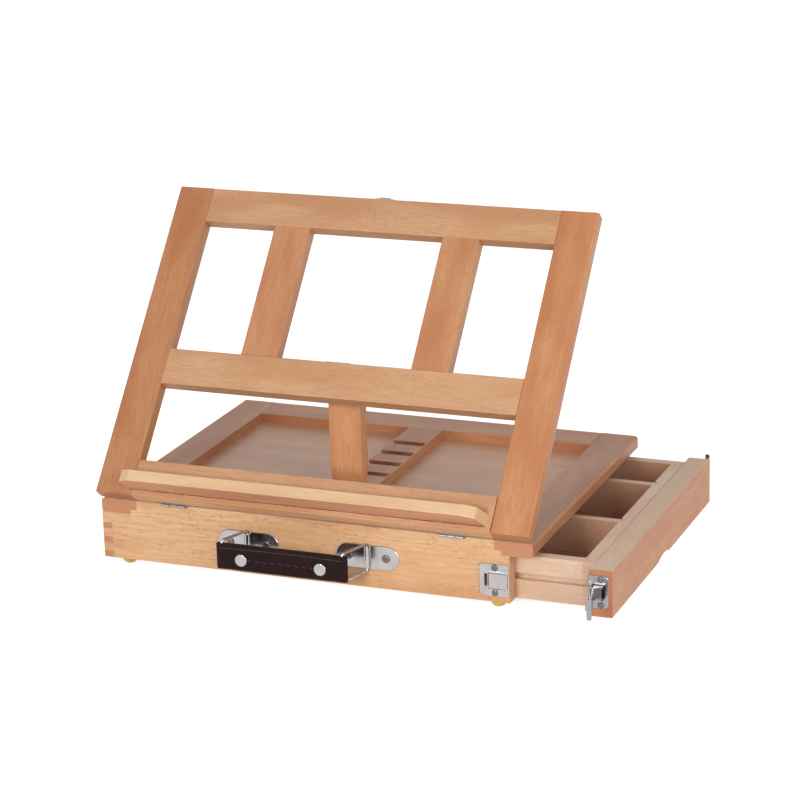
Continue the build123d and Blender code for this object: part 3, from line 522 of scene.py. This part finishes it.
def make_stitches():
    """Sewn line between the rivets on both faces: short slanted threads that dip into the leather."""
    bm = bmesh.new()
    middle = (GRIP_HIGH.x + GRIP_LOW.x) / 2
    span = 2 * (GRIP_HALF_LENGTH - RIVET_INSET - STITCH_MARGIN)
    count = int(span / STITCH_PITCH)
    lying = Matrix.Rotation(pi / 2, 3, "Y")
    slant = Matrix.Rotation(STITCH_SLANT, 3, "Y")
    for side in (-1, 1):
        for index in range(count + 1):
            x = middle + (index - count / 2) * STITCH_PITCH
            stitch = bmesh.ops.create_uvsphere(bm, u_segments=12, v_segments=8, radius=1.0)["verts"]
            bmesh.ops.rotate(bm, verts=stitch, cent=(0, 0, 0), matrix=lying)
            for vert in stitch:
                vert.co.x *= STITCH_LENGTH / 2
                vert.co.y *= THREAD_HALF_DEPTH * (1 - 0.3 * abs(vert.co.x) / STITCH_LENGTH)
                vert.co.z *= THREAD_HALF_HEIGHT
            bmesh.ops.rotate(bm, verts=stitch, cent=(0, 0, 0), matrix=slant)
            bmesh.ops.translate(bm, verts=stitch, vec=(x, GRIP_MIDDLE + side * GRIP_HALF, STITCH_HEIGHT))
    new_piece("grip_stitches", bm, thread("thread"), "handle_grip")


# Dark joint lines where the frame's boards meet, and a painted shadow line in the gap where the ledge
# meets the rail, drawn a hair proud of the wood

STOCK = 13.0
HINGE_RADIUS = 2.0
LEFT_JOINT, RIGHT_JOINT = 34.0, 366.0
RAIL_LOW, RAIL_HIGH = 0.6, 32.4
LEDGE_LOW, LEDGE_HIGH = 4.6, 15.8
LEDGE_LEFT, LEDGE_RIGHT = 33.0, 360.0
LEDGE_LINE = 4.75
SEAM_LINES = (
    # The first line is painted shadow in the gap along the ledge; the others are dark joints
    ((LEDGE_LEFT, LEDGE_LINE), (LEDGE_RIGHT, LEDGE_LINE), 0.55),
    ((RIGHT_JOINT, RAIL_LOW), (RIGHT_JOINT, RAIL_HIGH), 0.5),
    ((LEFT_JOINT, RAIL_LOW), (LEFT_JOINT, LEDGE_LOW), 0.4),
    ((LEFT_JOINT, LEDGE_HIGH), (LEFT_JOINT, RAIL_HIGH), 0.4),
)
SEAM_SEED = 7
SEAM_STEP = 1.6
SEAM_UNEVEN = (0.45, 1.25)
SEAM_SUNK, SEAM_PROUD = -0.2, 0.05


def on_frame(x, s, t):
    """A point of the tilted frame in millimetres: s up its slope, t from its back to its face."""
    y = -HINGE_RADIUS + (s + HINGE_RADIUS) * cos(TILT) - t * sin(TILT)
    z = (s + HINGE_RADIUS) * sin(TILT) + t * cos(TILT)
    return at(x, y, z) / MM


def seam_line(bm, draw, start, end, width):
    """One uneven dark line on the frame's front face, between two points given as x and s."""
    start, end = Vector(start), Vector(end)
    run = end - start
    across = Vector((-run.y, run.x)).normalized()
    steps = max(4, int(run.length / SEAM_STEP))
    rings = []
    for step in range(steps + 1):
        point = start + run * step / steps
        half = width / 2 * draw.uniform(*SEAM_UNEVEN)
        ring = []
        for side, rise in ((-1, SEAM_SUNK), (-1, SEAM_PROUD), (1, SEAM_PROUD), (1, SEAM_SUNK)):
            x, s = point + across * half * side
            ring.append(bm.verts.new(on_frame(x, s, STOCK + rise)))
        rings.append(ring)
    bridge(bm, rings)


def make_seam_lines():
    """The painted shadow line along the ledge's gap and the dark joints where the bottom rail meets the
    stiles.
    """
    draw = random.Random(SEAM_SEED)
    bm = bmesh.new()
    for start, end, width in SEAM_LINES:
        seam_line(bm, draw, start, end, width)
    new_piece("frame_seam_lines", bm, highlight_and_seam_line("seam_and_gap_shadow", (86, 44, 28)), "easel_frame")


# Camera, light and floor: places in millimetres, turns in degrees, lamp sizes in metres, power in watts

CAMERA_PLACE = (1089.73, -2003.24, 784.40)
CAMERA_YAW, CAMERA_PITCH, CAMERA_ROLL = -21.88, -17.23, -1.58
CAMERA_LENS = 122.62
AIM = (200, 120, 20)
KEY_PLACE, KEY_SIZE, KEY_POWER = (0, -2250, 850), 0.7, 31
FILL_PLACE, FILL_SIZE, FILL_POWER = (2200, -900, 700), 1.6, 26
WORLD_LIGHT = 0.38
FLOOR_GLOW = 0.78


def make_camera():
    """The photograph's viewpoint, fitted to the case and the frame."""
    yaw, pitch, roll = radians(CAMERA_YAW), radians(CAMERA_PITCH), radians(CAMERA_ROLL)
    forward = Vector((sin(yaw) * cos(pitch), cos(yaw) * cos(pitch), sin(pitch)))
    right = Vector((cos(yaw), -sin(yaw), 0))
    up = right.cross(forward)
    right_rolled = right * cos(roll) + up * sin(roll)
    up_rolled = up * cos(roll) - right * sin(roll)
    data = bpy.data.cameras.new("camera")
    data.sensor_width = 36.0
    data.lens = CAMERA_LENS
    data.clip_end = 20
    camera = bpy.data.objects.new("camera", data)
    turn = Matrix((right_rolled, up_rolled, -forward)).transposed().to_4x4()
    camera.matrix_world = Matrix.Translation(at(*CAMERA_PLACE)) @ turn
    bpy.context.collection.objects.link(camera)
    bpy.context.scene.camera = camera


def softbox(name, place, target, size, power):
    """A square lamp that looks at the target."""
    data = bpy.data.lights.new(name, "AREA")
    data.shape = "RECTANGLE"
    data.size, data.size_y = size, size
    data.energy = power
    lamp = bpy.data.objects.new(name, data)
    lamp.location = place
    lamp.rotation_euler = (Vector(target) - Vector(place)).to_track_quat("-Z", "Y").to_euler()
    bpy.context.collection.objects.link(lamp)


def background_rays(tree):
    """1 for rays that show the background: seen directly, in metal or through glass."""
    path = tree.nodes.new("ShaderNodeLightPath")
    total = tree.nodes.new("ShaderNodeMath")
    total.operation = "ADD"
    total.use_clamp = True
    tree.links.new(path.outputs["Is Camera Ray"], total.inputs[0])
    tree.links.new(path.outputs["Is Glossy Ray"], total.inputs[1])
    last = tree.nodes.new("ShaderNodeMath")
    last.operation = "ADD"
    last.use_clamp = True
    tree.links.new(total.outputs[0], last.inputs[0])
    tree.links.new(path.outputs["Is Transmission Ray"], last.inputs[1])
    return last.outputs[0]


def make_world():
    world = bpy.data.worlds.new("studio")
    world.use_nodes = True
    bpy.context.scene.world = world
    tree = world.node_tree
    back = tree.nodes["Background"]
    back.inputs["Color"].default_value = (1, 1, 1, 1)
    strength = tree.nodes.new("ShaderNodeMapRange")
    tree.links.new(background_rays(tree), strength.inputs["Value"])
    strength.inputs["To Min"].default_value = WORLD_LIGHT
    strength.inputs["To Max"].default_value = 1.0
    tree.links.new(strength.outputs[0], back.inputs["Strength"])


def make_floor():
    """A white floor that keeps the object's shadow."""
    bm = bmesh.new()
    bmesh.ops.create_grid(bm, x_segments=1, y_segments=1, size=6.0)
    mesh = bpy.data.meshes.new("floor")
    bm.to_mesh(mesh)
    bm.free()
    floor = bpy.data.objects.new("floor", mesh)
    floor.location.z = -0.0002
    bpy.context.collection.objects.link(floor)
    material = bpy.data.materials.new("floor")
    material.use_nodes = True
    tree = material.node_tree
    shader = tree.nodes["Principled BSDF"]
    shader.inputs["Base Color"].default_value = (0.8, 0.8, 0.8, 1)
    shader.inputs["Roughness"].default_value = 0.9
    shader.inputs["Specular IOR Level"].default_value = 0.0
    glow = tree.nodes.new("ShaderNodeMapRange")
    tree.links.new(background_rays(tree), glow.inputs["Value"])
    glow.inputs["To Min"].default_value = 0.0
    glow.inputs["To Max"].default_value = FLOOR_GLOW
    shader.inputs["Emission Color"].default_value = (1, 1, 1, 1)
    tree.links.new(glow.outputs[0], shader.inputs["Emission Strength"])
    mesh.materials.append(material)


def make_studio():
    target = at(*AIM)
    softbox("key", at(*KEY_PLACE), target, KEY_SIZE, KEY_POWER)
    softbox("fill", at(*FILL_PLACE), target, FILL_SIZE, FILL_POWER)
    make_world()
    make_floor()
    make_camera()
    bpy.context.scene.view_settings.view_transform = "Standard"


finish_cad_nodes()
make_grip()
make_edge_lines()
make_stitches()
make_seam_lines()
make_studio()
